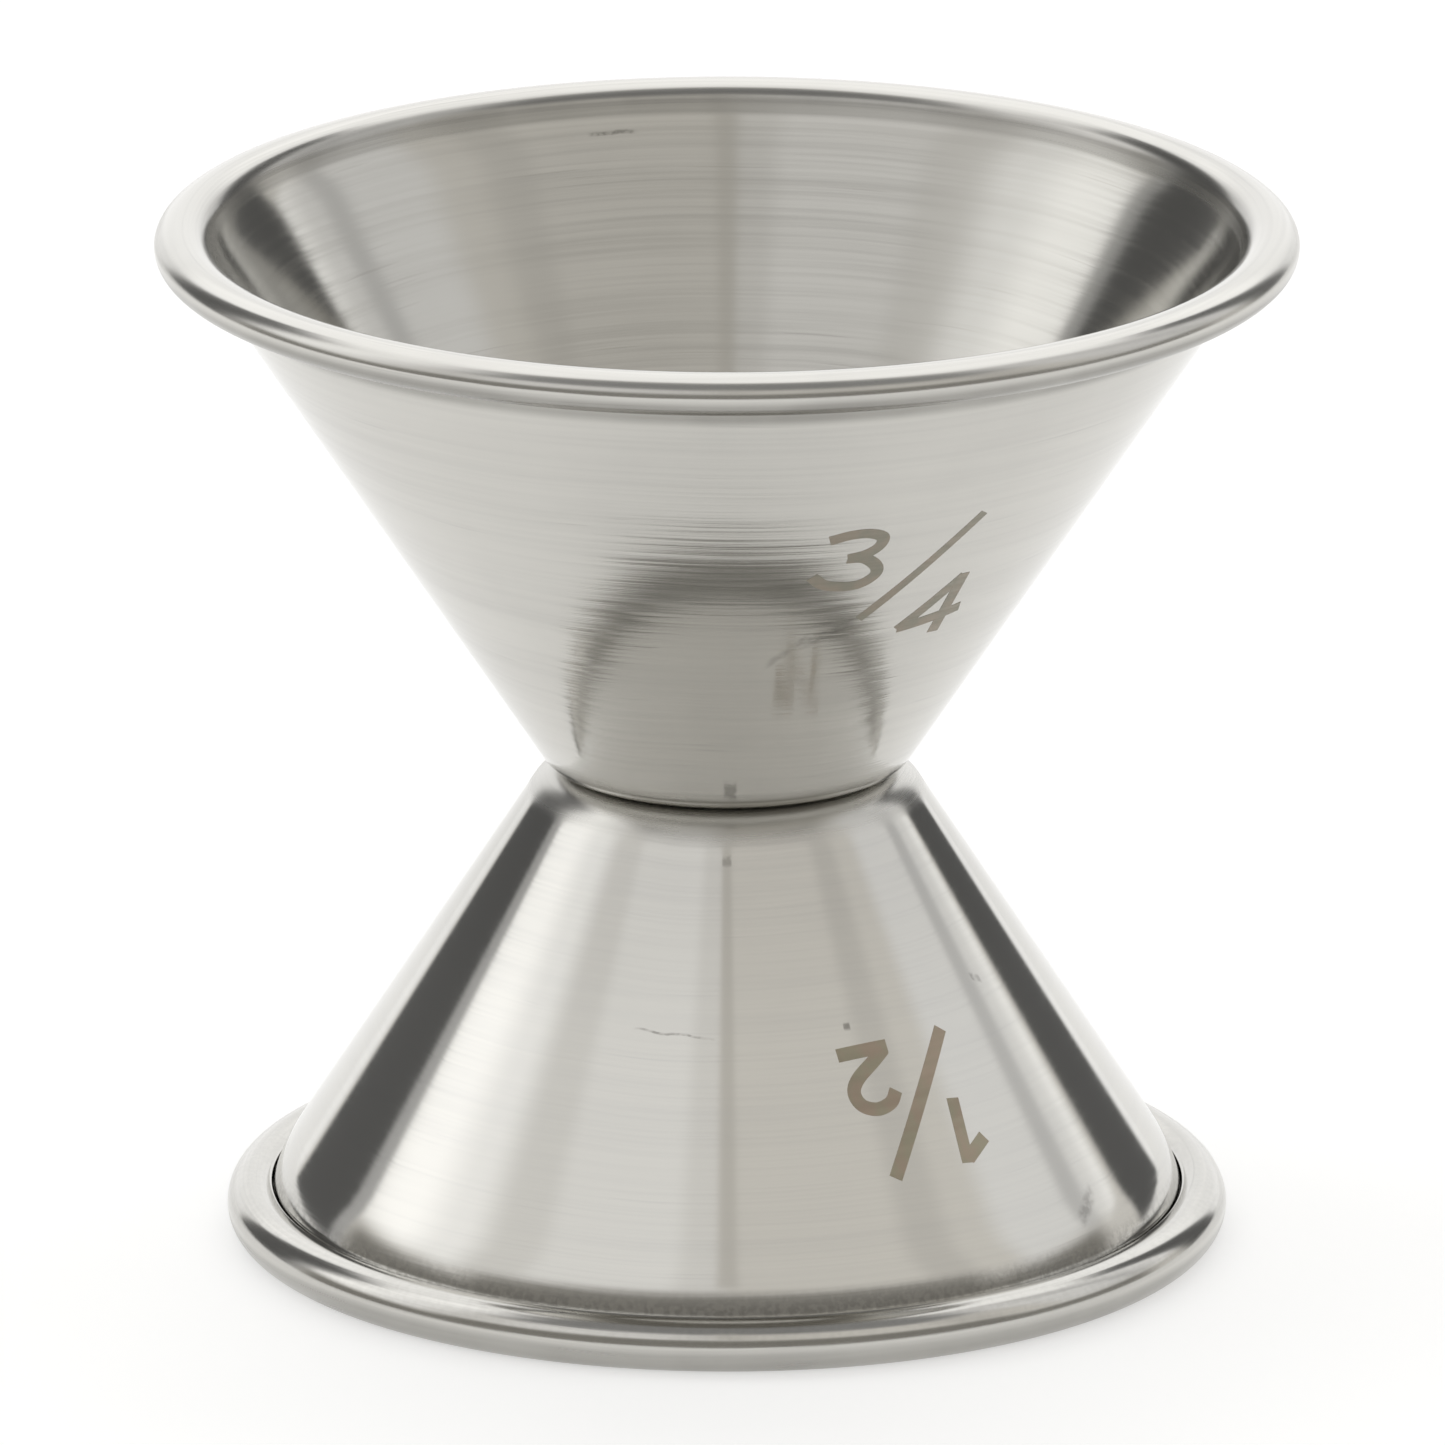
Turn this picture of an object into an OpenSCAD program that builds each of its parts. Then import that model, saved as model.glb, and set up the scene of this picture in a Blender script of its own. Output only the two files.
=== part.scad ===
// Bar jigger: two conical sheet-metal cups of different measures, standing
// closed end to closed end on one axis and held by three spot welds.
// Each rim is rolled outward and down into a hollow bead.
// The lower cup's rim stands on z = 0 and the common axis is Z.
// Lengths are in millimetres.

/* [Both cups] */
// Height over both rims
overall_h = 47.7; // [46:0.1:56]
// Height of the plane where the closed ends meet
waist_z = 22.2; // [21:0.1:24]
// Thickness of the sheet
sheet_t = 0.6; // [0.4:0.05:0.8]
// Outside radius of the bend where the cone turns into the neck
bend_r = 7; // [2:0.5:7.5]

/* [Upper cup, three quarters of a fluid ounce] */
// Diameter over the rolled rim
upper_rim_d = 52; // [48:0.5:54]
// Diameter of the closed end, at the sharp corner that the round replaces
upper_end_d = 16.2; // [15:0.1:18]
// Outside radius of the corner round the closed end
upper_corner_r = 1.4; // [1:0.1:2.4]
// Slope of the neck under the rim, from the axis
upper_neck_a = 22; // [16:1:24]
// Length of the neck, from the rolled rim down to the bend
upper_neck_l = 0.9; // [0.8:0.1:3]
// Height of the rolled rim, which is pressed a little flat
upper_curl_h = 1.9; // [1.8:0.1:3]

/* [Lower cup, half a fluid ounce] */
// Diameter over the rolled rim
lower_rim_d = 45.8; // [44:0.1:49]
// Diameter of the closed end, at the sharp corner that the round replaces
lower_end_d = 16.5; // [15:0.1:18]
// Outside radius of the corner round the closed end
lower_corner_r = 2.3; // [1:0.1:2.4]
// Slope of the neck under the rim, from the axis
lower_neck_a = 12.5; // [10:0.5:16]
// Length of the neck, from the rolled rim down to the bend
lower_neck_l = 2; // [1.6:0.1:3]
// Height of the rolled rim
lower_curl_h = 2.5; // [1.8:0.1:3]

/* [Rolled rims] */
// Width of a roll, across its section
curl_w = 2.5; // [2.2:0.1:3]
// Gap left between the cut edge of the sheet and the wall
curl_gap = 0.27; // [0.1:0.01:0.35]

/* [Welds] */
// Diameter of a weld nugget
nugget_d = 3; // [2:0.1:4]
// Thickness of a nugget, half of it in each cup
nugget_t = 0.6; // [0.3:0.05:0.7]
// Diameter of the circle the nuggets lie on
weld_circle_d = 8; // [7:0.1:9]

/* [Hidden] */

$fn = 96;
weld_count = 3;
steel = [0.74, 0.73, 0.71];
polished_steel = [0.80, 0.79, 0.77];
weld_grey = [0.50, 0.48, 0.46];

// Every arc has its corners at odd multiples of half a step. A roll then has
// a level facet at its crest, where the jigger stands, and an upright one at
// its widest, and both facets lie this share of the way to the true arc.
arc_step = 15;
facet_reach = cos(arc_step / 2);
// Smallest piece of a step that is kept at the end of an arc
step_margin = 0.1;

// Unit vector pointing up a wall that leans outward by angle a
function along(a) = [sin(a), cos(a)];
// Unit vector out of that wall's inner side, towards the axis
function inward(a) = [-cos(a), sin(a)];

function first_step(a) = ceil(a / arc_step - 0.5 + step_margin);
function last_step(a) = floor(a / arc_step - 0.5 - step_margin);

function rising(from, to) = [for (k = [first_step(from) : 1 : last_step(to)]) (k + 0.5) * arc_step];
function falling(from, to) = [for (k = [last_step(from) : -1 : first_step(to)]) (k + 0.5) * arc_step];

// Points of an oval arc about a centre, with its two half widths, from one
// angle to another
function oval(centre, half, from, to) =
    [for (a = concat([from], from < to ? rising(from, to) : falling(from, to), [to]))
        centre + [half[0] * cos(a), half[1] * sin(a)]];
function arc(centre, r, from, to) = oval(centre, [r, r], from, to);

// Distance from an oval's centre to its tangent that leans by angle a, and
// the angle about the oval at which it touches
function tangent_reach(half, a) = norm([half[0] * cos(a), half[1] * sin(a)]);
function tangent_turn(half, a) = atan2(half[1] * sin(a), half[0] * cos(a));

// Section of one cup, radius against height. Its closed end lies on zero and
// its rim is at height h. The outline runs out along the outer side, round
// the inside of the roll to the cut edge, back over the roll, and down the
// inner side to the axis.
function cup_outline(h, rim_d, end_d, corner_r, neck_a, neck_l, curl_h) =
    let (
        outer = [curl_w / 2, curl_h / 2],
        inner = outer - [sheet_t, sheet_t],
        curl_c = [rim_d / 2, h] - facet_reach * outer,
        curl_start = 180 - tangent_turn(inner, neck_a),
        touch = [inner[0] * cos(curl_start), inner[1] * sin(curl_start)],
        bend = curl_c + touch - neck_l * along(neck_a),
        cone_a = atan2(bend[0] - end_d / 2, bend[1]),
        bend_c = bend - bend_r * tan((cone_a - neck_a) / 2) * along(cone_a) + bend_r * inward(cone_a),
        corner_c = [end_d / 2 - corner_r * tan(45 - cone_a / 2), corner_r],
        curl_end = acos((tangent_reach(inner, neck_a) - curl_gap) / tangent_reach(outer, neck_a))
            - 180 - tangent_turn(outer, neck_a)
    )
    concat(
        [[0, 0]],
        arc(corner_c, corner_r, -90, -cone_a),
        arc(bend_c, bend_r, -cone_a, -neck_a),
        oval(curl_c, inner, curl_start, curl_end),
        oval(curl_c, outer, curl_end, 180 - tangent_turn(outer, neck_a)),
        arc(bend_c, bend_r - sheet_t, -neck_a, -cone_a),
        arc(corner_c, corner_r - sheet_t, -cone_a, -90),
        [[0, sheet_t]]
    );

// Solid of one weld nugget: an oval lens across the plane z = 0
module nugget_lens() {
    rotate_extrude() polygon([for (a = [-90 : arc_step : 90])
        [nugget_d / 2 * cos(a), nugget_t / 2 * sin(a)]]);
}

// Puts its children at weld number i on the waist plane
module at_weld(i) {
    rotate([0, 0, i * 360 / weld_count])
        translate([weld_circle_d / 2, 0, waist_z])
            children();
}

module cup(h, rim_d, end_d, corner_r, neck_a, neck_l, curl_h) {
    rotate_extrude() polygon(cup_outline(h, rim_d, end_d, corner_r, neck_a, neck_l, curl_h));
}

module upper_cup() {
    color(steel) difference() {
        translate([0, 0, waist_z])
            cup(overall_h - waist_z, upper_rim_d, upper_end_d, upper_corner_r,
                upper_neck_a, upper_neck_l, upper_curl_h);
        for (i = [1 : weld_count]) at_weld(i) nugget_lens();
    }
}

module lower_cup() {
    color(polished_steel) difference() {
        translate([0, 0, waist_z]) mirror([0, 0, 1])
            cup(waist_z, lower_rim_d, lower_end_d, lower_corner_r,
                lower_neck_a, lower_neck_l, lower_curl_h);
        for (i = [1 : weld_count]) at_weld(i) nugget_lens();
    }
}

module weld_nugget(i) {
    color(weld_grey) at_weld(i) nugget_lens();
}

upper_cup();
lower_cup();
weld_nugget(1);  // weld_nugget_1
weld_nugget(2);  // weld_nugget_2
weld_nugget(3);  // weld_nugget_3
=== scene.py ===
"""A bar jigger: a large and a small conical steel cup, welded closed end to closed end."""

import math
from dataclasses import dataclass

import bpy
import numpy as np
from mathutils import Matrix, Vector


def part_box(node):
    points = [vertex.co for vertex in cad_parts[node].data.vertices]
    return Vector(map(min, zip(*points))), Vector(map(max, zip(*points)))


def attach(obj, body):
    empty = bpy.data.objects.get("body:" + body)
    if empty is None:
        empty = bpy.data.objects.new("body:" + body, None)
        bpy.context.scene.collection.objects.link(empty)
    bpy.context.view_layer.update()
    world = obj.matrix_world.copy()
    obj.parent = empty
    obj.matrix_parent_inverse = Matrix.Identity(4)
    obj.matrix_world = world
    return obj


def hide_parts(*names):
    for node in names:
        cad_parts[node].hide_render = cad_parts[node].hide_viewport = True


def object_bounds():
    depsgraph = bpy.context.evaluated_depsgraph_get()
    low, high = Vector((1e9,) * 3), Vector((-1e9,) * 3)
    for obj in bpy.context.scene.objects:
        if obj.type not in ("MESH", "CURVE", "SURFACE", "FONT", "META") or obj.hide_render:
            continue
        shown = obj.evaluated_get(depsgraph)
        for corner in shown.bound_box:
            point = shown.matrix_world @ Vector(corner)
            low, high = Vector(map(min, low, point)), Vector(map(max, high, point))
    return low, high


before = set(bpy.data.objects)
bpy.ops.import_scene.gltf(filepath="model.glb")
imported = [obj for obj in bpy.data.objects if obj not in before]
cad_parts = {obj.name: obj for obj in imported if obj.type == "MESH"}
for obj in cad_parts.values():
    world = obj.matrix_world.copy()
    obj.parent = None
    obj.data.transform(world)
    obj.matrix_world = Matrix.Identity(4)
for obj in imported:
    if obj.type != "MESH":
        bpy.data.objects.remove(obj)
CAD_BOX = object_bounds()

MM = 0.001

# Sheet-metal sizes that both cups share
SHEET = 0.6 * MM
BEND_R = 7 * MM  # outside radius where the cone turns into the neck
CURL_W = 2.5 * MM  # width of a rolled rim, across its section
CURL_GAP = 0.05 * MM  # between the sheet's cut edge and the wall
EDGE_R = 0.08 * MM  # rounding of the cut edge

SEGMENTS = 384  # round a cup
ARC_STEP = math.radians(5)  # between two points of a round
WALL_STEP = 0.8 * MM  # the longest span along a straight wall
NO_LENGTH = 1e-9  # metres; a shorter span is none
FILM = 0.008 * MM  # thickness of a mark's oxide, on each side of the surface
DIMPLE_R = 1.9 * MM
DIMPLE_DEPTH = 0.07 * MM

OUTSIDE, ROLL, INSIDE = range(3)


@dataclass
class Cup:
    """One cup's own sizes. Heights run from its closed end to its rim, and up is +1 or -1."""

    closed_z: float
    rim_z: float
    rim_r: float  # over the roll
    end_r: float  # of the closed end, at the sharp corner that the round replaces
    corner_r: float  # outside radius round the closed end
    neck_angle: float  # from the axis
    neck_length: float  # from the roll down to the bend
    curl_height: float

    def __post_init__(self):
        self.height = abs(self.rim_z - self.closed_z)
        self.up = math.copysign(1, self.rim_z - self.closed_z)
        self.outer = np.array([CURL_W, self.curl_height]) / 2  # half widths of the oval roll
        self.inner = self.outer - SHEET
        self.curl = np.array([self.rim_r, self.height]) - self.outer
        self.curl_start = math.pi - tangent_turn(self.inner, self.neck_angle)
        touch = self.curl + self.inner * compass(self.curl_start)
        self.bend = touch - self.neck_length * along(self.neck_angle)
        self.slope = math.atan2(self.bend[0] - self.end_r, self.bend[1])

    def wall_r(self, height):
        """Outside radius of the cone at a height."""
        return self.end_r + math.tan(self.slope) * height


def along(angle):
    """Unit vector up a wall that leans outward by angle, as (radius, height)."""
    return np.array([math.sin(angle), math.cos(angle)])


def inward(angle):
    """Unit vector from that wall towards the axis."""
    return np.array([-math.cos(angle), math.sin(angle)])


def compass(angle):
    """Unit vector at an angle from the outward direction, turning up."""
    return np.array([math.cos(angle), math.sin(angle)])


def tangent_reach(half, angle):
    """Distance from an oval's centre to its tangent that leans by angle."""
    return math.hypot(half[0] * math.cos(angle), half[1] * math.sin(angle))


def tangent_turn(half, angle):
    """Angle about the oval at which that tangent touches it."""
    return math.atan2(half[1] * math.sin(angle), half[0] * math.cos(angle))


def read_cups():
    """The two cups, with the sizes that the frame's boxes give."""
    upper_low, upper_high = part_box("upper_cup")
    lower_low, lower_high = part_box("lower_cup")
    upper = Cup(closed_z=upper_low.z, rim_z=upper_high.z, rim_r=upper_high.y,
                end_r=8.1 * MM, corner_r=1.4 * MM,
                neck_angle=math.radians(22), neck_length=0.9 * MM, curl_height=1.9 * MM)
    lower = Cup(closed_z=lower_high.z, rim_z=lower_low.z, rim_r=lower_high.y,
                end_r=8.25 * MM, corner_r=2.3 * MM,
                neck_angle=math.radians(12.5), neck_length=2 * MM, curl_height=2.5 * MM)
    return upper, lower


# ---------------------------------------------------------------- outlines


def arc(centre, radius, start, end):
    """Points of an arc, from one angle to another. An oval arc has two radii."""
    count = max(2, round(abs(end - start) / ARC_STEP))
    return [centre + radius * compass(a) for a in np.linspace(start, end, count + 1)]


def rounded_edge(cup, end):
    """The sheet's cut edge at the end of the roll, as two small round corners."""
    normal = compass(end)
    forward = -compass(end + math.pi / 2)
    points = []
    for half, side in ((cup.inner, 1), (cup.outer, -1)):
        centre = cup.curl + half * normal + EDGE_R * (side * normal - forward)
        angles = np.linspace(0, math.pi / 2, 4)[::side]
        points += [centre + EDGE_R * (-side * math.cos(a) * normal + math.sin(a) * forward)
                   for a in angles]
    return points


def cup_outline(cup):
    """Section of one cup as (radius, height) points, and which surface each span belongs to."""
    slope, neck = cup.slope, cup.neck_angle
    bend_c = (cup.bend - BEND_R * math.tan((slope - neck) / 2) * along(slope)
              + BEND_R * inward(slope))
    corner_r = cup.corner_r
    corner_c = np.array([cup.end_r - corner_r * math.tan(math.pi / 4 - slope / 2), corner_r])
    clear = (tangent_reach(cup.inner, neck) - CURL_GAP) / tangent_reach(cup.outer, neck)
    curl_end = math.acos(clear) - math.pi - tangent_turn(cup.outer, neck)
    down = -math.pi / 2
    edge_turn = 2 * EDGE_R / CURL_W
    outer = [np.zeros(2)]
    outer += arc(corner_c, corner_r, down, -slope)
    outer += arc(bend_c, BEND_R, -slope, -neck)
    roll = arc(cup.curl, cup.inner, cup.curl_start, curl_end + edge_turn)
    roll += rounded_edge(cup, curl_end)
    roll += arc(cup.curl, cup.outer, curl_end + edge_turn, math.pi - tangent_turn(cup.outer, neck))
    inner = arc(bend_c, BEND_R - SHEET, -neck, -slope)
    inner += arc(corner_c, corner_r - SHEET, -slope, down)
    inner += [np.array([0, SHEET])]
    parts = [(outer, OUTSIDE), (roll, ROLL), (inner, INSIDE)]
    points = [p for part, _ in parts for p in part]
    surfaces = [surface for part, surface in parts for _ in part]
    return subdivided(points, surfaces)


def subdivided(points, surfaces):
    """The same outline with its long straight spans cut into short ones."""
    out, kept = [points[0]], []
    for start, end, surface in zip(points, points[1:], surfaces):
        length = np.linalg.norm(end - start)
        if length < NO_LENGTH:
            continue
        count = max(1, math.ceil(length / WALL_STEP))
        out += [start + (end - start) * i / count for i in range(1, count + 1)]
        kept += [surface] * count
    return out, kept


# ------------------------------------------------------------------ meshes


def new_piece(name, vertices, faces, replaces=()):
    """A smooth mesh piece that rides on the jigger's one body."""
    mesh = bpy.data.meshes.new(name)
    mesh.from_pydata([tuple(v) for v in vertices], [], faces)
    mesh.validate()
    mesh.shade_smooth()
    piece = bpy.data.objects.new(name, mesh)
    bpy.context.scene.collection.objects.link(piece)
    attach(piece, "root")
    if replaces:
        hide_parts(*replaces)
    return piece


def out_of_round(angle, height_share):
    """How far hand spinning leaves a wall from a true circle, least at the closed end."""
    two = 0.014 * math.cos(2 * angle + 0.7)
    three = 0.006 * math.cos(3 * angle + 2.1)
    five = 0.003 * math.cos(5 * angle + 4.0 + 3 * height_share)
    return MM * height_share * (two + three + five)


def weld_dimple(x, y, welds):
    """Depth of the shallow dents that the welding electrode leaves in a cup's floor."""
    depth = 0
    for weld in welds:
        share = math.hypot(x - weld.x, y - weld.y) / DIMPLE_R
        if share < 1:
            depth = max(depth, DIMPLE_DEPTH * (1 - share ** 2) ** 2)
    return depth


def lathe(cup, welds):
    """Vertices, faces and each face's surface for a cup turned from its outline."""
    outline, surfaces = cup_outline(cup)
    angles = [2 * math.pi * i / SEGMENTS for i in range(SEGMENTS)]
    vertices = [(0, 0, cup.closed_z)]
    for radius, height in outline[1:-1]:
        on_floor = abs(height - SHEET) < 1e-7
        for angle in angles:
            r = radius + out_of_round(angle, height / cup.height)
            x, y = r * math.cos(angle), r * math.sin(angle)
            h = height - weld_dimple(x, y, welds) if on_floor else height
            vertices.append((x, y, cup.closed_z + cup.up * h))
    vertices.append((0, 0, cup.closed_z + cup.up * SHEET))
    faces, faces_surface = [], []
    rings = len(outline) - 2

    def at(ring, i):
        return 1 + ring * SEGMENTS + i % SEGMENTS

    for i in range(SEGMENTS):
        faces.append((0, at(0, i + 1), at(0, i)))
        faces_surface.append(OUTSIDE)
    for ring in range(rings - 1):
        for i in range(SEGMENTS):
            faces.append((at(ring, i), at(ring, i + 1), at(ring + 1, i + 1), at(ring + 1, i)))
            faces_surface.append(surfaces[ring + 1])
    for i in range(SEGMENTS):
        faces.append((at(rings - 1, i), at(rings - 1, i + 1), len(vertices) - 1))
        faces_surface.append(INSIDE)
    if cup.up < 0:
        faces = [face[::-1] for face in faces]
    return vertices, faces, faces_surface


def make_cup(name, cup, welds, materials):
    """One cup with its rolled rim, and a finish for each of its surfaces."""
    vertices, faces, faces_surface = lathe(cup, welds)
    piece = new_piece(name + "_shell", vertices, faces, replaces=(name,))
    for material in materials:
        piece.data.materials.append(material)
    piece.data.polygons.foreach_set("material_index", faces_surface)
    return piece


# ------------------------------------------------- marks on the cones' sides


@dataclass
class Place:
    """A spot on a cup's outside wall. A mark's points are given to the right of it and
    towards the rim, as read with that cup's mouth up."""

    cup: Cup
    azimuth: float  # to the right of the front, seen with the jigger standing on its base
    height: float  # from the closed end

    def point(self, right, up, lift):
        """A point of the mark wrapped on the cone, with lift out of the surface."""
        cup, slope = self.cup, self.cup.slope
        cos_a, sin_a = math.cos(slope), math.sin(slope)
        reach = cup.wall_r(self.height) + up * sin_a
        sag = cos_a * (reach - math.sqrt(reach ** 2 - right ** 2 * math.cos(2 * slope)))
        sag /= math.cos(2 * slope)
        radial = reach - sag * cos_a
        height = self.height + up * cos_a + sag * sin_a
        angle = self.azimuth + cup.up * math.atan2(right, radial)
        r = math.hypot(radial, right) + lift * cos_a
        h = height - lift * sin_a
        r += out_of_round(angle - math.pi / 2, h / cup.height)
        return (r * math.sin(angle), -r * math.cos(angle), cup.closed_z + cup.up * h)


def smooth_path(points, step):
    """Points close together on a smooth curve through the given ones."""
    points = np.array(points, float)
    if len(points) == 2:
        count = max(2, math.ceil(np.linalg.norm(points[1] - points[0]) / step))
        return [points[0] + (points[1] - points[0]) * i / count for i in range(count + 1)]
    padded = np.vstack([2 * points[0] - points[1], points, 2 * points[-1] - points[-2]])
    out = []
    for a, b, c, d in zip(padded, padded[1:], padded[2:], padded[3:]):
        count = max(2, math.ceil(np.linalg.norm(c - b) / step))
        for i in range(count):
            t = i / count
            out.append(0.5 * (2 * b + (c - a) * t + (2 * a - 5 * b + 4 * c - d) * t ** 2
                              + (3 * b - a - 3 * c + d) * t ** 3))
    return out + [points[-1]]


def stroke(place, points, width, film):
    """Vertices and faces of one pen stroke: a thin closed ribbon wrapped on the cone."""
    path = smooth_path(points, 0.12 * MM)
    across = 4
    vertices, faces = [], []
    for i, p in enumerate(path):
        ahead = path[min(i + 1, len(path) - 1)] - path[max(i - 1, 0)]
        normal = np.array([-ahead[1], ahead[0]]) / np.linalg.norm(ahead)
        for lift in (film, -film):
            for j in range(across + 1):
                q = p + normal * width * (j / across - 0.5)
                vertices.append(place.point(q[0], q[1], lift))
    ring = 2 * (across + 1)
    top, under = list(range(across + 1)), list(range(across + 1, ring))
    loop = top + under[::-1]
    for i in range(len(path) - 1):
        for a, b in zip(loop, loop[1:] + loop[:1]):
            faces.append((i * ring + a, i * ring + b, (i + 1) * ring + b, (i + 1) * ring + a))
    last = (len(path) - 1) * ring
    for j in range(across):
        faces.append((top[j], under[j], under[j + 1], top[j + 1]))
        faces.append((last + top[j], last + top[j + 1], last + under[j + 1], last + under[j]))
    return vertices, faces


def make_mark(name, place, strokes, width, material):
    """One numeral or slash, made of strokes whose points are in millimetres."""
    vertices, faces = [], []
    for i, points in enumerate(strokes):
        thickness = FILM * (1 + 0.15 * i)  # so that crossing strokes don't coincide
        more, quads = stroke(place, [(x * MM, y * MM) for x, y in points], width, thickness)
        faces += [tuple(len(vertices) + k for k in quad) for quad in quads]
        vertices += more
    piece = new_piece(name, vertices, faces)
    piece.data.set_sharp_from_angle(angle=math.radians(40))
    piece.data.materials.append(material)
    return piece


def make_three_quarters(cup, material):
    """The larger cup's measure: 3/4, sloping, a little to the right of the front."""
    place = Place(cup, math.radians(29.9), 12.8 * MM)
    numerals = {
        "mark_upper_3": [
            [(-4.9, 3.1), (-4.0, 3.5), (-3.1, 3.6), (-2.4, 3.3), (-2.4, 2.7), (-2.9, 2.2), (-3.7, 1.9)],
            [(-3.7, 1.9), (-2.9, 1.9), (-2.2, 1.4), (-2.0, 0.8), (-2.5, 0.2), (-3.3, 0), (-4.3, 0.1),
             (-5.0, 0.6)],
        ],
        "mark_upper_slash": [[(-1.9, -2.3), (2.7, 3.9)]],
        "mark_upper_4": [
            [(3.1, -0.5), (0.4, -3.4)],
            [(0.4, -3.3), (3.7, -2.9)],
            [(3.1, -0.4), (2.6, -4.2)],
        ],
    }
    for name, strokes in numerals.items():
        width = (0.5 if name.endswith("slash") else 0.62) * MM
        make_mark(name, place, strokes, width, material)


def make_half(cup, material):
    """The smaller cup's measure: 1/2, upright when the jigger is turned over."""
    place = Place(cup, math.radians(31.5), 11.8 * MM)
    numerals = {
        "mark_lower_1": [[(-3.3, 2.4), (-2.1, 3.3)], [(-2.0, 3.5), (-2.2, 0.4)]],
        "mark_lower_slash": [[(1.9, 3.6), (-2.7, -2.9)]],
        "mark_lower_2": [
            [(0.6, -0.4), (1.0, 0.1), (1.7, 0.3), (2.3, 0.1), (2.6, -0.3), (2.6, -0.8), (2.2, -1.3),
             (1.3, -1.9), (0.6, -2.4)],
            [(0.4, -2.5), (2.9, -2.5)],
        ],
    }
    for name, strokes in numerals.items():
        make_mark(name, place, strokes, 0.64 * MM, material)


# --------------------------------------------------------------- materials


class Graph:
    """Short calls for building a node tree."""

    def __init__(self, tree):
        self.tree = tree
        tree.nodes.clear()

    def node(self, kind, inputs=(), **settings):
        made = self.tree.nodes.new(kind)
        for name, value in settings.items():
            setattr(made, name, value)
        for key, value in dict(inputs).items():
            self.put(made.inputs[key], value)
        return made

    def put(self, socket, value):
        if isinstance(value, bpy.types.NodeSocket):
            self.tree.links.new(value, socket)
        else:
            socket.default_value = value

    def math(self, operation, *values):
        made = self.node("ShaderNodeMath", operation=operation)
        for socket, value in zip(made.inputs, values):
            self.put(socket, value)
        return made.outputs[0]

    def vector(self, operation, *values, scale=None):
        made = self.node("ShaderNodeVectorMath", operation=operation)
        for socket, value in zip(made.inputs, values):
            self.put(socket, value)
        if scale is not None:
            made.inputs["Scale"].default_value = scale
        return made.outputs["Value" if operation == "LENGTH" else "Vector"]

    def ramp(self, value, low, high, out_low=0.0, out_high=1.0):
        """Smooth change from out_low to out_high as value goes from low to high."""
        made = self.node("ShaderNodeMapRange", interpolation_type="SMOOTHSTEP")
        for socket, number in zip(made.inputs, (value, low, high, out_low, out_high)):
            self.put(socket, number)
        return made.outputs["Result"]

    def window(self, value, low, high, soft):
        """1 between low and high, 0 outside, with soft edges."""
        rise = self.ramp(value, low - soft, low + soft)
        fall = self.ramp(value, high - soft, high + soft, 1.0, 0.0)
        return self.math("MULTIPLY", rise, fall)

    def noise(self, vector, scale, detail=3.0, roughness=0.55):
        made = self.node("ShaderNodeTexNoise", {"Vector": vector, "Scale": scale, "Detail": detail,
                                                "Roughness": roughness})
        return made.outputs["Fac"]

    def mix(self, factor, a, b):
        made = self.node("ShaderNodeMix", data_type="RGBA")
        for key, value in (("Factor_Float", factor), ("A_Color", a), ("B_Color", b)):
            socket = next(s for s in made.inputs if s.identifier == key)
            self.put(socket, value)
        return next(s for s in made.outputs if s.identifier == "Result_Color")


@dataclass
class Finish:
    """How one steel surface is finished. Reflectances are of the base metal."""

    color: tuple
    shade: tuple  # the same steel where it is dull
    roughness: float
    streak: float  # roughness added along the dull lines
    line_width: float  # of the turned lines
    line_depth: float
    anisotropy: float
    side: float  # +1 where the section climbs as it widens, -1 where it falls


@dataclass
class DirtAndShadeBand:
    """A ring between two heights that is darker and rougher: painted shade in most, and dirt and wear in
    some.
    """

    low: float
    high: float
    soft: float
    strength: float
    roughness: float = 0.1  # added where the band is strongest
    speckle: float = 0.0  # how far it is broken up into specks
    within: float = 1.0  # only nearer the axis than this, in metres


@dataclass
class FlawOrReflection:
    """A scratch, a stain or a painted reflection on a wall, at an azimuth in degrees from the front to the
    right.
    """

    azimuth: float
    z: float
    half_length: float  # round the axis
    half_width: float
    strength: float
    climb: float = 0.0  # rise for each unit of length to the right


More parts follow.
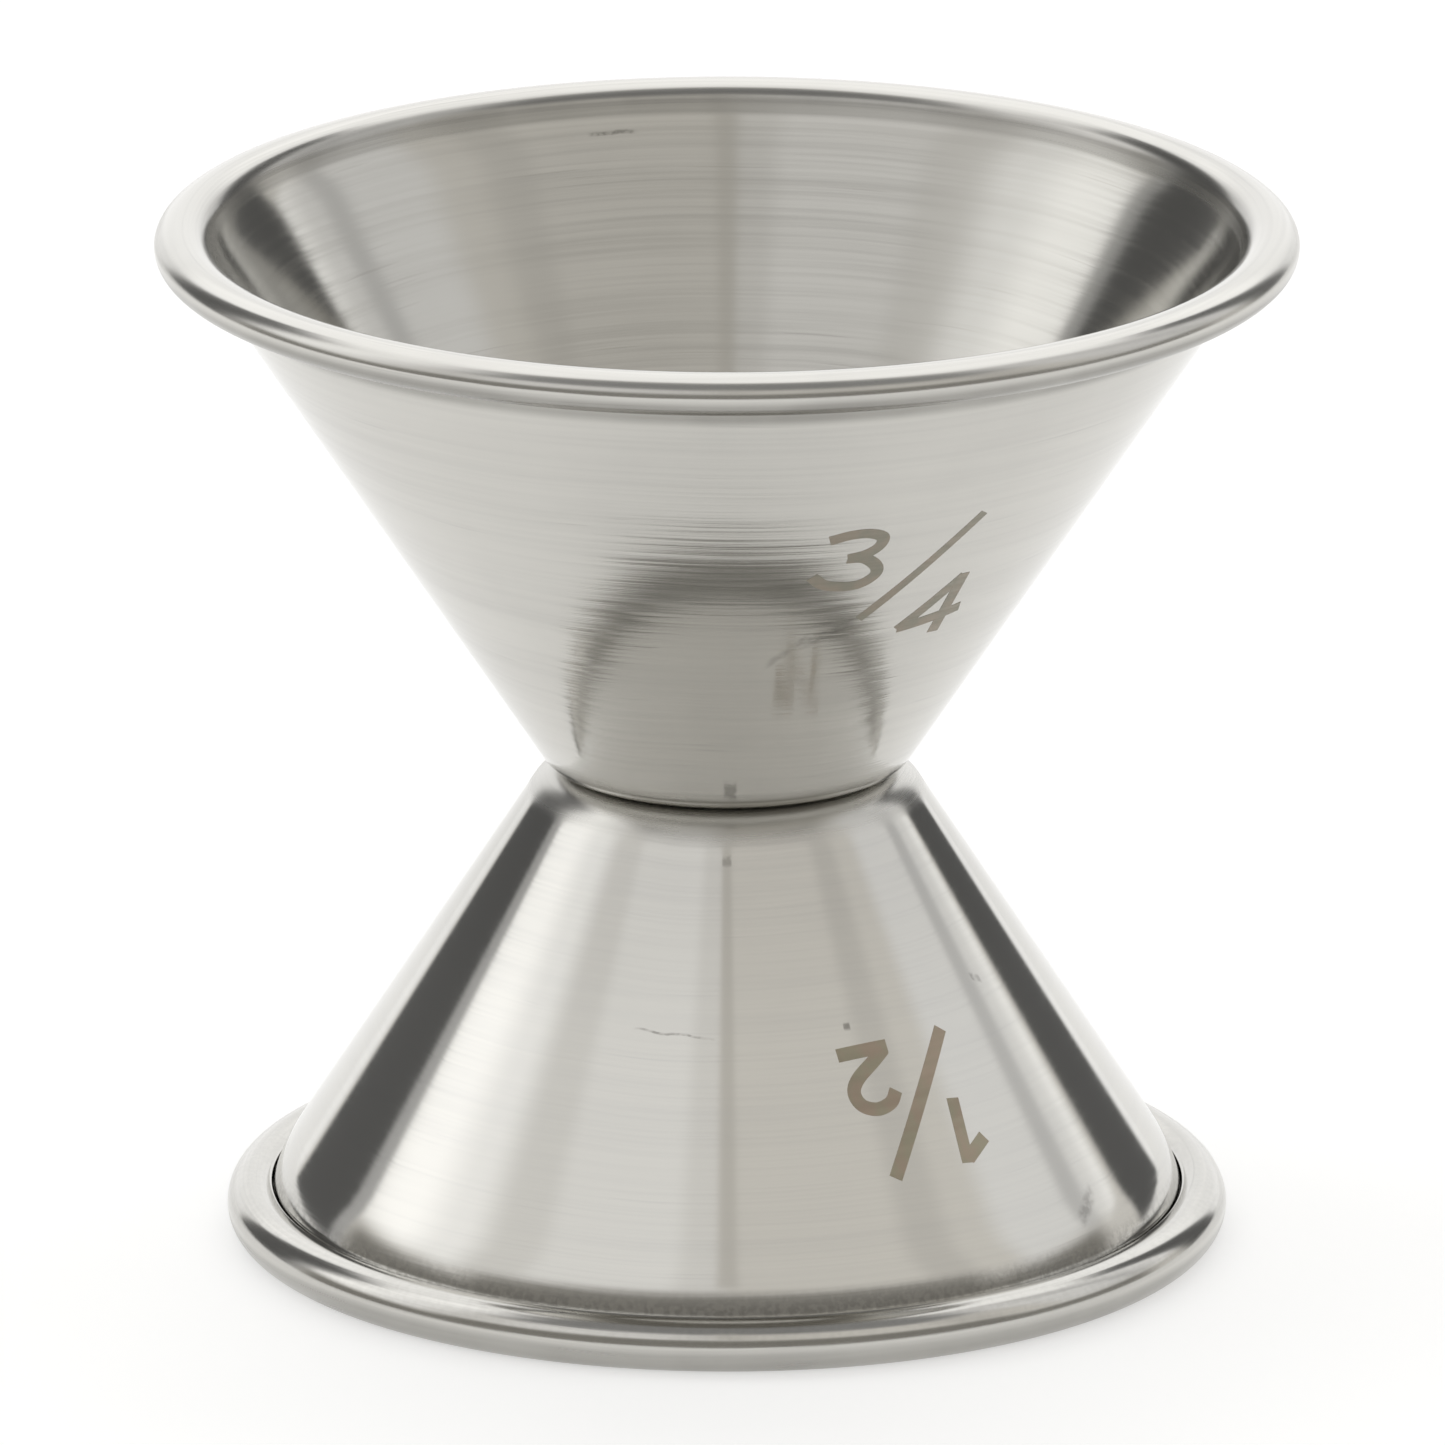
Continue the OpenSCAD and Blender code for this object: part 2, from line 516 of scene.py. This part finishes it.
class Turned:
    """Coordinates of a turned surface: position, height, distance from the axis, direction
    from the axis, and distance along the section, which is what turned lines lie across."""

    def __init__(self, g, side):
        self.g = g
        self.position = g.node("ShaderNodeTexCoord").outputs["Object"]
        self.x, self.y, self.z = g.node("ShaderNodeSeparateXYZ", {"Vector": self.position}).outputs
        flat = g.node("ShaderNodeCombineXYZ", {"X": self.x, "Y": self.y}).outputs[0]
        self.radius = g.vector("LENGTH", flat)
        self.direction = g.vector("NORMALIZE", flat)
        section = g.math("ADD", self.radius, g.math("MULTIPLY", self.z, side))
        drift = g.math("MULTIPLY", g.noise(self.direction, 1.3, 1.0), 0.8 * MM)
        self.section = g.math("ADD", section, drift)

    def lines(self, round_scale, width, detail=2.0):
        """Noise in lines round the axis, each about width across."""
        g = self.g
        stretched = g.math("DIVIDE", self.section, width)
        lift = g.node("ShaderNodeCombineXYZ", {"Z": stretched}).outputs[0]
        vector = g.vector("ADD", g.vector("SCALE", self.direction, scale=round_scale), lift)
        return g.noise(vector, 1.0, detail, 0.5)

    def band(self, band):
        """1 inside a darker ring of painted shade and dirt, with soft edges, uneven and in places specked.
        """
        g = self.g
        mask = g.window(self.z, band.low, band.high, band.soft)
        if band.within < 1:
            mask = g.math("MULTIPLY", mask, g.window(self.radius, -FAR, band.within, 0.15 * MM))
        uneven = g.ramp(g.noise(self.position, 160.0), 0.3, 0.6, 0.8, 1.0)
        if band.speckle:
            specks = g.ramp(g.noise(self.position, 3200.0, 2.0), 0.42, 0.58, 1.0 - band.speckle, 1.0)
            uneven = g.math("MULTIPLY", uneven, specks)
        return g.math("MULTIPLY", mask, uneven)

    def wall_spot(self, wall_spot):
        """1 on a scratch, a stain or a painted reflection, broken up by noise."""
        g = self.g
        angle = g.math("ARCTAN2", self.x, g.math("MULTIPLY", self.y, -1.0))
        turned = g.math("SUBTRACT", angle, math.radians(wall_spot.azimuth))
        across = g.math("MULTIPLY", turned, self.radius)
        rise = g.math("SUBTRACT", g.math("SUBTRACT", self.z, wall_spot.z), g.math("MULTIPLY", across, wall_spot.climb))
        wobble = g.math("MULTIPLY", g.math("SUBTRACT", g.noise(self.position, 900.0), 0.5), 0.25 * MM)
        rise = g.math("ADD", rise, wobble)
        long = g.window(across, -wall_spot.half_length, wall_spot.half_length, 0.3 * wall_spot.half_length)
        thin = g.window(rise, -wall_spot.half_width, wall_spot.half_width, 0.6 * wall_spot.half_width)
        broken = g.ramp(g.noise(self.position, 2200.0), 0.35, 0.6, 0.3, 1.0)
        mask = g.math("MULTIPLY", g.math("MULTIPLY", long, thin), broken)
        return g.math("MULTIPLY", mask, wall_spot.strength)


# the dark colour mixed in for dirt, painted shade, painted reflections and scratches
GRIME_AND_SHADE = (0.075, 0.070, 0.060, 1)
FAR = 1  # metres; a band that ends this far up or down has no end


def steel(name, finish, bands=(), wall_spots=()):
    """Brushed or polished steel, with its darker bands of dirt and painted shade, and its flaws and painted
    reflections.
    """
    material = bpy.data.materials.new(name)
    material.use_nodes = True
    g = Graph(material.node_tree)
    turned = Turned(g, finish.side)
    fine = turned.lines(1.4, 0.3 * finish.line_width)
    coarse = turned.lines(0.9, finish.line_width, 3.0)
    broad = turned.lines(0.6, 6 * finish.line_width, 1.0)
    scratches = g.ramp(turned.lines(2.4, 0.8 * finish.line_width, 1.0), 0.70, 0.80)
    cloud = g.noise(turned.position, 160.0, 3.0)
    dull = g.math("MULTIPLY", g.ramp(cloud, 0.45, 0.75), 0.2)
    dull = g.math("ADD", dull, g.ramp(coarse, 0.40, 0.72, 0.0, 0.25))
    dull = g.math("ADD", dull, g.ramp(broad, 0.40, 0.70, 0.0, 0.25))
    dull = g.math("ADD", dull, g.math("MULTIPLY", scratches, 0.6))
    dull = g.math("MINIMUM", dull, 1.0)
    color = g.mix(dull, (*finish.color, 1), (*finish.shade, 1))
    # the bands' painted shade and dirt, and the spots' flaws and painted reflections, mix in the dark colour
    grime_and_shade, worn = 0.0, 0.0
    for band in bands:
        mask = turned.band(band)
        grime_and_shade = g.math("MAXIMUM", grime_and_shade, g.math("MULTIPLY", mask, band.strength))
        worn = g.math("MAXIMUM", worn, g.math("MULTIPLY", mask, band.roughness))
    for wall_spot in wall_spots:
        grime_and_shade = g.math("MAXIMUM", grime_and_shade, turned.wall_spot(wall_spot))
    color = g.mix(grime_and_shade, color, GRIME_AND_SHADE)
    rough = g.ramp(coarse, 0.35, 0.75, finish.roughness, finish.roughness + finish.streak)
    rough = g.math("ADD", rough, g.ramp(broad, 0.3, 0.7, 0.0, 0.5 * finish.streak))
    rough = g.math("ADD", rough, worn)
    height = g.math("ADD", g.math("MULTIPLY", fine, 0.15), g.math("MULTIPLY", coarse, 0.85))
    height = g.math("MULTIPLY", height, g.ramp(broad, 0.35, 0.65, 0.35, 1.0))
    height = g.math("SUBTRACT", height, g.math("MULTIPLY", scratches, 0.15))
    bump = g.node("ShaderNodeBump", {"Strength": 1.0, "Distance": finish.line_depth, "Height": height})
    tangent = g.node("ShaderNodeTangent", direction_type="RADIAL", axis="Z")
    shader = g.node("ShaderNodeBsdfPrincipled", {
        "Base Color": color,
        "Metallic": 1.0,
        "Roughness": rough,
        "Anisotropic": finish.anisotropy,
        "Anisotropic Rotation": 0.25,
        "Normal": bump.outputs[0],
        "Tangent": tangent.outputs[0],
    })
    g.node("ShaderNodeOutputMaterial", {"Surface": shader.outputs[0]})
    return material


STEEL = (0.605, 0.594, 0.562)
SATIN = (0.58, 0.569, 0.536)
DULL = (0.50, 0.49, 0.465)
BRIGHT_DULL = (0.56, 0.552, 0.53)
INSIDE_STEEL = (0.49, 0.481, 0.451)
INSIDE_DULL = (0.43, 0.42, 0.39)


def satin_outside(waist, rim):
    """The upper cup's outside, with painted shade in the crease at the waist and under the roll, a few
    scratches, and a painted reflection of a dark post at the front just above the waist."""
    finish = Finish(SATIN, DULL, roughness=0.085, streak=0.03, line_width=0.45 * MM,
                    line_depth=0.010 * MM, anisotropy=0.55, side=1)
    # painted shade: darker in the crease at the waist and under the roll
    bands = [DirtAndShadeBand(-FAR, waist + 0.12 * MM, 0.10 * MM, 0.12),
             DirtAndShadeBand(rim - 2.9 * MM, FAR, 0.3 * MM, 0.42)]
    wall_spots = [FlawOrReflection(18, waist + 10.3 * MM, 1.1 * MM, 0.28 * MM, 0.25, 0.5),
             FlawOrReflection(11, waist + 9.4 * MM, 0.8 * MM, 0.22 * MM, 0.22, 0.9),
             # painted reflection of a dark post, at the front just above the waist
             FlawOrReflection(1, waist + 1.2 * MM, 0.28 * MM, 0.45 * MM, 0.45)]
    return steel("satin_steel", finish, bands, wall_spots)


def bright_outside(waist):
    """The lower cup's outside, with painted shade in the crease, on the shoulder below it and fading down
    from under the upper cup, specked dirt and painted shade in the neck above the roll, and the marks of
    handling.
    """
    finish = Finish(STEEL, BRIGHT_DULL, roughness=0.09, streak=0.03, line_width=0.20 * MM,
                    line_depth=0.002 * MM, anisotropy=0.65, side=-1)
    # painted shade: darker in the crease, darker and duller on the shoulder below it, and darker fading down
    # from under the upper cup
    bands = [DirtAndShadeBand(waist - 0.06 * MM, FAR, 0.06 * MM, 0.15),
             DirtAndShadeBand(waist - 1.3 * MM, FAR, 0.35 * MM, 0.12, roughness=0.18),
             DirtAndShadeBand(waist - 7 * MM, FAR, 4 * MM, 0.10, roughness=0.0),
             # specked dirt and painted shade in the neck above the roll
             DirtAndShadeBand(-FAR, 2.9 * MM, 0.6 * MM, 0.36, roughness=0.06, speckle=0.6)]
    wall_spots = [FlawOrReflection(-10, waist - 8.8 * MM, 1.6 * MM, 0.05 * MM, 0.5, -0.06),
             FlawOrReflection(23, waist - 8.7 * MM, 0.16 * MM, 0.14 * MM, 0.6),
             FlawOrReflection(57, waist - 8.1 * MM, 0.3 * MM, 0.16 * MM, 0.35, -0.4),
             FlawOrReflection(56, waist - 17.8 * MM, 0.8 * MM, 0.28 * MM, 0.35, 0.5),
             FlawOrReflection(0, waist - 1.9 * MM, 0.22 * MM, 0.24 * MM, 0.4)]
    return steel("bright_steel", finish, bands, wall_spots)


def upper_inside(rim):
    """The upper cup's inside, with painted shade just under the rim and a short scratch far back under the
    rim.
    """
    finish = Finish(INSIDE_STEEL, INSIDE_DULL, roughness=0.12, streak=0.05, line_width=0.35 * MM,
                    line_depth=0.005 * MM, anisotropy=0.75, side=1)
    # painted shade just under the roll
    bands = [DirtAndShadeBand(rim - 1.3 * MM, FAR, 0.15 * MM, 0.14)]
    scratch = FlawOrReflection(-166.7, rim - 1.95 * MM, 1.0 * MM, 0.08 * MM, 0.7)
    return steel("upper_inside", finish, bands, [scratch])


def lower_inside():
    """The lower cup's inside, which only a turned-over jigger shows."""
    finish = Finish(INSIDE_STEEL, INSIDE_DULL, roughness=0.135, streak=0.05, line_width=0.30 * MM,
                    line_depth=0.004 * MM, anisotropy=0.75, side=-1)
    return steel("lower_inside", finish)


def roll_finish(side):
    """The finish of both rolls."""
    return Finish(STEEL, DULL, roughness=0.12, streak=0.05, line_width=0.16 * MM,
                  line_depth=0.003 * MM, anisotropy=0.35, side=side)


def upper_roll(cup):
    """The upper rim's roll, darker and duller underneath and on its way into the cup, where the darkness is
    painted shade, and a faint darker ring below its crest.
    """
    finish = roll_finish(side=1)
    rim = cup.rim_z
    # painted shade: darker underneath and on the inner side into the cup; a faint darker ring below the
    # crest
    bands = [DirtAndShadeBand(0, rim - 1.05 * MM, 0.25 * MM, 0.50),
             DirtAndShadeBand(rim - 0.8 * MM, rim - 0.25 * MM, 0.1 * MM, 0.15),
             DirtAndShadeBand(0, rim - 0.25 * MM, 0.15 * MM, 0.42, within=cup.rim_r - 0.5 * CURL_W)]
    return steel("upper_roll", finish, bands)


def lower_roll():
    """The lower rim's roll, darker where it stands as painted shade, and worn dull there; specked darker
    towards the neck with dirt and painted shade.
    """
    finish = roll_finish(side=-1)
    # painted shade at the bottom where it stands, with wear; dirt and painted shade in specks towards the
    # neck
    bands = [DirtAndShadeBand(-FAR, 1.2 * MM, 0.25 * MM, 0.30),
             DirtAndShadeBand(1.5 * MM, FAR, 0.2 * MM, 0.12, roughness=0.02, speckle=0.3)]
    return steel("lower_roll", finish, bands)


def etched_oxide(name, color, blotch):
    """A mark's oxide: dull brown-grey, blotchy, with the steel's lines showing through."""
    material = bpy.data.materials.new(name)
    material.use_nodes = True
    g = Graph(material.node_tree)
    turned = Turned(g, 1)
    blotches = g.noise(turned.position, 900.0, 4.0)
    lines = turned.lines(2.0, 0.15 * MM)
    tint = g.mix(g.ramp(blotches, 0.35, 0.65), (*color, 1), (*blotch, 1))
    rough = g.ramp(lines, 0.3, 0.7, 0.36, 0.52)
    shader = g.node("ShaderNodeBsdfPrincipled", {"Base Color": tint, "Metallic": 0.8, "Roughness": rough})
    g.node("ShaderNodeOutputMaterial", {"Surface": shader.outputs[0]})
    return material


def weld_metal():
    """The nuggets' cast structure: dull, coarse-grained steel."""
    material = bpy.data.materials.new("cast_weld_metal")
    material.use_nodes = True
    g = Graph(material.node_tree)
    position = g.node("ShaderNodeTexCoord").outputs["Object"]
    grain = g.noise(position, 2500.0, 2.0)
    color = g.mix(grain, (0.34, 0.33, 0.31, 1), (0.50, 0.48, 0.45, 1))
    bump = g.node("ShaderNodeBump", {"Strength": 0.4, "Distance": 0.03 * MM, "Height": grain})
    shader = g.node("ShaderNodeBsdfPrincipled", {
        "Base Color": color, "Metallic": 1.0, "Roughness": g.ramp(grain, 0.3, 0.7, 0.4, 0.55),
        "Normal": bump.outputs[0]})
    g.node("ShaderNodeOutputMaterial", {"Surface": shader.outputs[0]})
    return material


# ------------------------------------------------------------------ studio


def make_camera():
    """The camera: a long lens, a little above the jigger, in front of it."""
    elevation = math.radians(16.8)
    distance = 1.231  # metres
    data = bpy.data.cameras.new("camera")
    data.sensor_width = 36  # millimetres, as is the focal length
    data.lens = 672
    camera = bpy.data.objects.new("camera", data)
    bpy.context.scene.collection.objects.link(camera)
    bpy.context.scene.camera = camera
    middle = Vector((0, 0, CAD_BOX[1][2] / 2))
    away = Vector((0, -math.cos(elevation), math.sin(elevation)))
    view_up = Vector((0, math.sin(elevation), math.cos(elevation)))
    framing = -0.2 * MM * Vector((1, 0, 0)) + 0.15 * MM * view_up
    camera.location = middle + framing + distance * away
    camera.rotation_euler = (math.pi / 2 - elevation, 0, 0)


def make_floor():
    """A plain white light table, far larger than the view."""
    half = 3.0  # metres
    mesh = bpy.data.meshes.new("floor")
    mesh.from_pydata([(-half, -half, 0), (half, -half, 0), (half, half, 0), (-half, half, 0)],
                     [], [(0, 1, 2, 3)])
    floor = bpy.data.objects.new("floor", mesh)
    bpy.context.scene.collection.objects.link(floor)
    material = bpy.data.materials.new("floor")
    material.use_nodes = True
    g = Graph(material.node_tree)
    shader = g.node("ShaderNodeBsdfPrincipled", {
        "Base Color": (0.68, 0.68, 0.675, 1), "Roughness": 1.0, "Specular IOR Level": 0.0,
        "Emission Color": (1, 1, 1, 1), "Emission Strength": 0.50})
    g.node("ShaderNodeOutputMaterial", {"Surface": shader.outputs[0]})
    mesh.materials.append(material)


def grey(value, warmth=0.0):
    """A grey of some brightness, with more red and less blue where it is warm."""
    return (value * (1 + 0.5 * warmth), value, value * (1 - warmth), 1)


DROP = 0.0019  # of the curve, in degrees for each square degree of azimuth


def make_light():
    """A soft light tent all round, as a pattern of brightness by direction. Angles are in
    degrees: azimuth from the front to the right, elevation from the horizon, and tilt
    from the front horizon over the top to the back one."""
    world = bpy.data.worlds.new("light_tent")
    bpy.context.scene.world = world
    world.use_nodes = True
    g = Graph(world.node_tree)
    direction = g.node("ShaderNodeTexCoord").outputs["Generated"]
    x, y, z = g.node("ShaderNodeSeparateXYZ", {"Vector": direction}).outputs
    towards = g.math("MULTIPLY", y, -1.0)
    degrees = 180 / math.pi
    azimuth = g.math("MULTIPLY", g.math("ARCTAN2", x, towards), degrees)
    turn = g.math("ABSOLUTE", azimuth)
    elevation = g.math("MULTIPLY", g.math("ARCSINE", z), degrees)
    tilt = g.math("MULTIPLY", g.math("ARCTAN2", z, towards), degrees)

    def panel(below, color, *windows):
        mask = windows[0]
        for window in windows[1:]:
            mask = g.math("MULTIPLY", mask, window)
        return g.mix(mask, below, color)

    # what the cones' fronts reflect lies along a curve that falls to both sides
    drop = g.math("MULTIPLY", g.math("MULTIPLY", azimuth, azimuth), DROP)
    fallen = g.math("ADD", elevation, drop)
    light = grey(0.84, 0.04)
    # the white sweep behind the table
    light = panel(light, grey(1.22), g.window(turn, 147, 400, 2), g.window(elevation, -90, 60, 6))
    # the large softbox over the table, from overhead to the sweep
    light = panel(light, grey(1.42), g.window(tilt, 98, 155, 3), g.window(x, -0.85, 0.85, 0.05))
    # the dark ceiling in front of it
    light = panel(light, grey(0.33), g.window(tilt, 54, 95, 3), g.window(x, -0.60, 0.60, 0.08))
    # the reflectors over the camera, the left one brighter
    light = panel(light, grey(0.93, 0.02), g.window(azimuth, -84, 0, 5), g.window(fallen, 31, 55, 2))
    light = panel(light, grey(1.05, 0.01), g.window(azimuth, -57, -15, 4), g.window(fallen, 31, 55, 2))
    light = panel(light, grey(0.83, 0.05), g.window(azimuth, 0, 84, 5), g.window(fallen, 31, 55, 2))
    light = panel(light, grey(0.72, 0.05), g.window(azimuth, 56, 70, 4), g.window(fallen, 31, 55, 2))
    # the dark room behind the camera and under the side lights
    light = panel(light, grey(0.28, 0.08), g.window(turn, -10, 70, 6), g.window(fallen, -40, 30, 4))
    light = panel(light, grey(0.28, 0.08), g.window(turn, -10, 112, 5), g.window(elevation, -40, 15, 4))
    # softboxes at both sides, the left one brighter
    light = panel(light, grey(1.30), g.window(azimuth, -117, -76, 7), g.window(elevation, 20, 62, 5))
    light = panel(light, grey(1.62), g.window(azimuth, -117, -92, 8), g.window(elevation, 20, 62, 5))
    light = panel(light, grey(1.0), g.window(azimuth, 84, 124, 5), g.window(elevation, 16, 62, 5))
    light = panel(light, grey(0.72), g.window(azimuth, 108, 115, 2), g.window(elevation, 16, 62, 5))
    # the dark gaps between the side lights and the sweep
    light = panel(light, grey(0.55), g.window(azimuth, -121, -113.5, 1.2), g.window(elevation, -90, 45, 5))
    light = panel(light, grey(0.13), g.window(azimuth, -145.5, -119, 1.3), g.window(elevation, -90, 45, 5))
    light = panel(light, grey(0.13), g.window(azimuth, 128, 148, 1.6), g.window(elevation, -90, 45, 5))
    # the camera and its stand
    light = panel(light, grey(0.68, 0.06), g.window(azimuth, -3, 3, 1.5), g.window(elevation, 35, 62, 2))
    background = g.node("ShaderNodeBackground", {"Color": light, "Strength": 1.0})
    g.node("ShaderNodeOutputWorld", {"Surface": background.outputs[0]})


def plain_color_handling():
    """Colours as rendered, and enough bounces for steel that mirrors steel."""
    scene = bpy.context.scene
    scene.view_settings.view_transform = "Standard"
    scene.cycles.max_bounces = 16
    scene.cycles.glossy_bounces = 12


# ------------------------------------------------------------------- build


def weld_places():
    """Centres of the weld nuggets, from the CAD nodes."""
    places = []
    for name in sorted(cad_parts):
        if name.startswith("weld_nugget"):
            low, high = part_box(name)
            places.append((low + high) / 2)
    return places


def main():
    make_camera()
    make_floor()
    make_light()
    plain_color_handling()
    upper, lower = read_cups()
    welds = weld_places()
    make_cup("upper_cup", upper, welds,
             [satin_outside(upper.closed_z, upper.rim_z), upper_roll(upper), upper_inside(upper.rim_z)])
    make_cup("lower_cup", lower, welds,
             [bright_outside(lower.closed_z), lower_roll(), lower_inside()])
    nugget_metal = weld_metal()
    for name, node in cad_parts.items():
        if name.startswith("weld_nugget"):
            node.data.materials.clear()
            node.data.materials.append(nugget_metal)
    make_three_quarters(upper, etched_oxide("grey_oxide", (0.265, 0.255, 0.21), (0.315, 0.275, 0.225)))
    make_half(lower, etched_oxide("brown_oxide", (0.37, 0.30, 0.235), (0.34, 0.315, 0.235)))


main()
